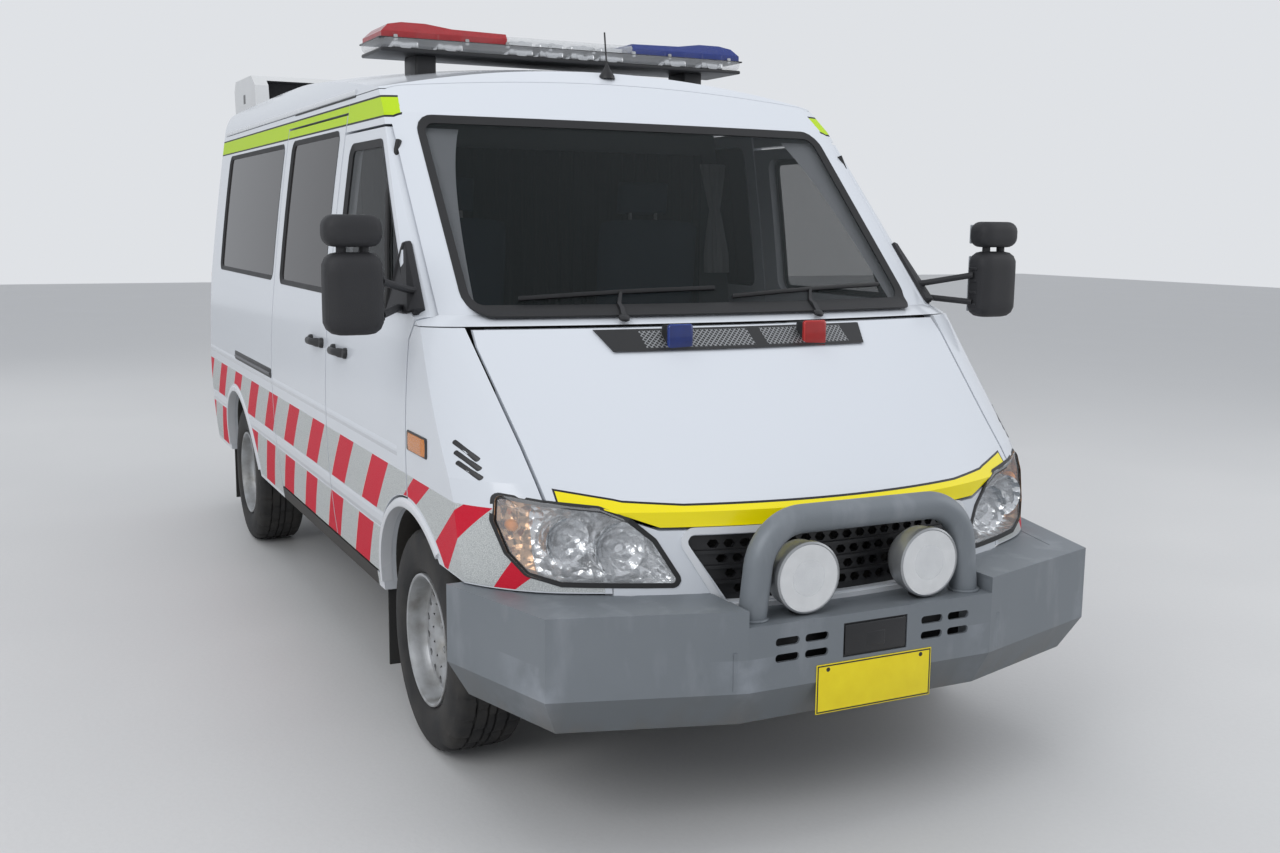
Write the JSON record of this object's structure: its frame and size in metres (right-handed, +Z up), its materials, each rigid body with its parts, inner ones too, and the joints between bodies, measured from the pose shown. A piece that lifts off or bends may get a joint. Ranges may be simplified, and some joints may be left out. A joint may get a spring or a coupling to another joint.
{
  "type": "ambulance",
  "caption": "Panel-van ambulance with a steel bull bar, light bar, opening doors and bonnet, steering front wheels and a hollow load space.",
  "frame": {"origin": "on the ground, under the middle of the bounding box", "axes": "+X forward, +Y to the vehicle's left, +Z up"},
  "size_m": [4.978, 2.456, 2.35],
  "materials": {
    "white_paint": "gloss",
    "black_plastic": "matt",
    "clear_glass": "gloss",
    "tinted_glass": "gloss",
    "lamp_lens": "gloss",
    "amber_lens": "gloss",
    "red_lens": "gloss",
    "lens_set": "gloss",
    "bar_steel": "satin",
    "frame_steel": "matt",
    "wheel_steel": "satin",
    "tyre_rubber": "matt",
    "flap_rubber": "matt",
    "plate_yellow": "satin",
    "trim_grey": "matt",
    "seat_cloth": "matt",
    "panel_grey": "satin",
    "alu": "satin"
  },
  "bodies": {
    "root": {"roof_panel": "white_paint", "body_sides": "white_paint", "cab_frame": "white_paint", "front_wings": "white_paint", "nose_panel": "white_paint", "sliding_doors": "white_paint", "windscreen": "clear_glass", "side_glass": "tinted_glass", "headlamps": "lamp_lens", "floor_pan": "frame_steel", "wheel_boxes": "frame_steel", "firewall": "frame_steel", "chassis_frame": "frame_steel", "rear_axle": "frame_steel", "engine_block": "frame_steel", "propshaft": "frame_steel", "fuel_tank": "black_plastic", "exhaust": "alu", "dashboard": "trim_grey", "seats": "seat_cloth", "partition": "panel_grey", "bull_bar": "bar_steel", "bar_box": "black_plastic", "number_plate": "plate_yellow", "spot_lamps": "black_plastic", "grille": "black_plastic", "side_lamps": "amber_lens", "tail_lamps": "red_lens", "wipers": "black_plastic", "light_bar": "trim_grey", "light_bar_lenses": "lens_set", "aerial": "black_plastic", "roof_pod": "white_paint", "rear_step": "frame_steel", "mud_flaps": "flap_rubber"},
    "bonnet": {"bonnet": "white_paint", "bonnet_vent": "black_plastic", "bonnet_lamps": "lens_set"},
    "steering_wheel": {"steering_wheel": "black_plastic"},
    "door_front_left": {"front_door_left": "white_paint", "front_door_glass_left": "clear_glass", "mirror_left": "black_plastic"},
    "door_rear_left": {"rear_door_left": "white_paint", "rear_door_glass_left": "tinted_glass"},
    "knuckle_left": {"knuckle_left": "frame_steel"},
    "door_front_right": {"front_door_right": "white_paint", "front_door_glass_right": "clear_glass", "mirror_right": "black_plastic"},
    "door_rear_right": {"rear_door_right": "white_paint", "rear_door_glass_right": "tinted_glass"},
    "knuckle_right": {"knuckle_right": "frame_steel"},
    "wheel_front_left": {"tyre_front_left": "tyre_rubber", "rim_front_left": "wheel_steel"},
    "wheel_front_right": {"tyre_front_right": "tyre_rubber", "rim_front_right": "wheel_steel"},
    "wheel_rear_left": {"tyre_rear_left": "tyre_rubber", "rim_rear_left": "wheel_steel"},
    "wheel_rear_right": {"tyre_rear_right": "tyre_rubber", "rim_rear_right": "wheel_steel"}
  },
  "joints": [
    {"name": "bonnet_hinge", "type": "hinge", "parent": "root", "child": "bonnet", "pos_m": [1.7125, 0, 1.306], "axis": [0, -1, 0], "range_deg": [0, 55]},
    {"name": "front_door_left_hinge", "type": "hinge", "parent": "root", "child": "door_front_left", "pos_m": [1.5575, 0.95, 1], "axis": [0, 0, -1], "range_deg": [0, 70]},
    {"name": "rear_door_left_hinge", "type": "hinge", "parent": "root", "child": "door_rear_left", "pos_m": [-2.4485, 0.815, 1.2], "axis": [0, 0, -1], "range_deg": [0, 180]},
    {"name": "steer_left", "type": "hinge", "parent": "root", "child": "knuckle_left", "pos_m": [1.4575, 0.705, 0.342], "axis": [0, 0, 1], "range_deg": [-33, 33]},
    {"name": "front_door_right_hinge", "type": "hinge", "parent": "root", "child": "door_front_right", "pos_m": [1.5575, -0.95, 1], "axis": [0, 0, 1], "range_deg": [0, 70]},
    {"name": "rear_door_right_hinge", "type": "hinge", "parent": "root", "child": "door_rear_right", "pos_m": [-2.4485, -0.815, 1.2], "axis": [0, 0, 1], "range_deg": [0, 180]},
    {"name": "steer_right", "type": "hinge", "parent": "root", "child": "knuckle_right", "pos_m": [1.4575, -0.705, 0.342], "axis": [0, 0, 1], "range_deg": [-33, 33]},
    {"name": "wheel_front_left_spin", "type": "hinge", "parent": "knuckle_left", "child": "wheel_front_left", "pos_m": [1.4575, 0.815, 0.342], "axis": [0, 1, 0], "continuous": true},
    {"name": "wheel_front_right_spin", "type": "hinge", "parent": "knuckle_right", "child": "wheel_front_right", "pos_m": [1.4575, -0.815, 0.342], "axis": [0, 1, 0], "continuous": true},
    {"name": "wheel_rear_left_spin", "type": "hinge", "parent": "root", "child": "wheel_rear_left", "pos_m": [-1.5425, 0.815, 0.342], "axis": [0, 1, 0], "continuous": true},
    {"name": "wheel_rear_right_spin", "type": "hinge", "parent": "root", "child": "wheel_rear_right", "pos_m": [-1.5425, -0.815, 0.342], "axis": [0, 1, 0], "continuous": true},
    {"name": "steering_wheel_turn", "type": "hinge", "parent": "root", "child": "steering_wheel", "pos_m": [0.9375, -0.43, 1.19], "axis": [-0.6157, 0, 0.788], "range_deg": [-540, 540]}
  ],
  "couplings": [
    {"joint": "steer_right", "follows": "steer_left", "ratio": 1},
    {"joint": "steering_wheel_turn", "follows": "steer_left", "ratio": 16}
  ]
}
